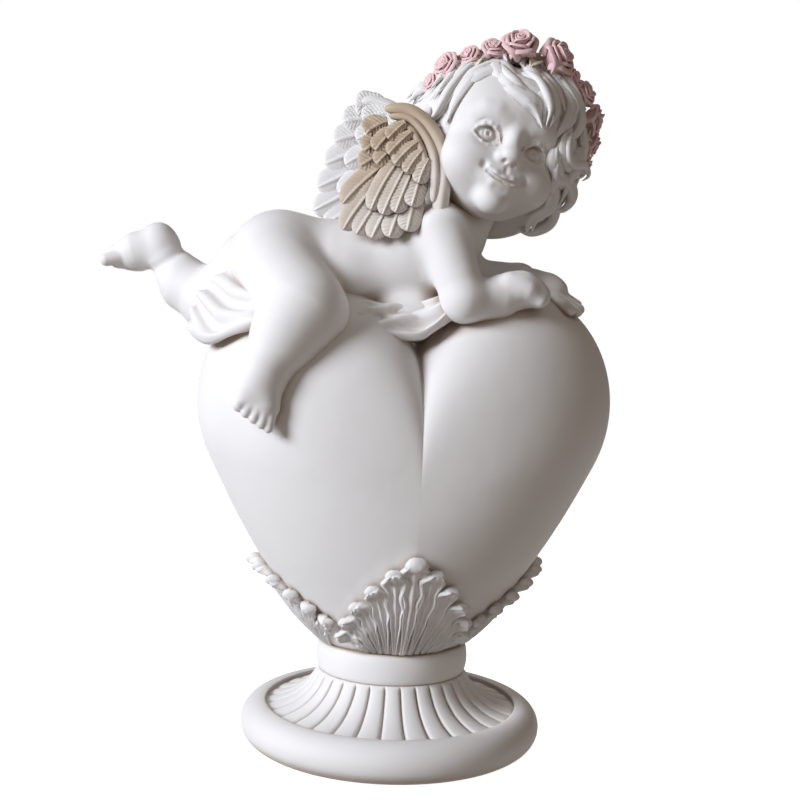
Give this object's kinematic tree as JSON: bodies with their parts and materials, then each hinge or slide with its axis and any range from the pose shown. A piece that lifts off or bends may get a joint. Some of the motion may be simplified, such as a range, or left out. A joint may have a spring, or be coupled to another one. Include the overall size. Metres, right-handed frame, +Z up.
{
  "type": "cherub figurine",
  "caption": "Cast resin cherub with a rose wreath, lying on an upright heart with acanthus leaves, on a round fluted pedestal foot.",
  "frame": {"origin": "centre of the felt under the foot, on the surface that the figurine stands on", "axes": "+Z up, the heart's cleft and front leaf face -Y, +X towards the side that the cherub's head is on"},
  "size_m": [0.1828, 0.104, 0.2416],
  "materials": {
    "resin_white": "matt white paint on cast resin",
    "feather_tan": "white resin with a tan wash",
    "rose_pink": "white resin with dry-brushed pink paint",
    "leaf_cream": "matt cream and pale green paint",
    "brass_pin": "drawn rod",
    "felt_pad": "glued wool felt"
  },
  "bodies": {
    "root": {"foot": "resin_white", "neck_bead": "resin_white", "heart_body": "resin_white", "leaf_front": "resin_white", "leaf_back": "resin_white", "leaf_left": "resin_white", "leaf_right": "resin_white", "torso": "resin_white", "head": "resin_white", "hair": "resin_white", "right_arm": "resin_white", "left_arm": "resin_white", "right_leg": "resin_white", "left_leg": "resin_white", "left_wing": "resin_white", "drape": "resin_white", "right_wing": "feather_tan", "rose_1": "rose_pink", "rose_2": "rose_pink", "rose_3": "rose_pink", "rose_4": "rose_pink", "rose_5": "rose_pink", "rose_6": "rose_pink", "rose_7": "rose_pink", "rose_8": "rose_pink", "rose_9": "rose_pink", "rose_10": "rose_pink", "rose_11": "rose_pink", "wreath_vine": "leaf_cream", "wreath_leaves": "leaf_cream", "neck_dowel": "brass_pin", "arm_dowels": "brass_pin", "leg_dowels": "brass_pin", "wing_dowels": "brass_pin", "base_felt": "felt_pad"}
  },
  "joints": []
}
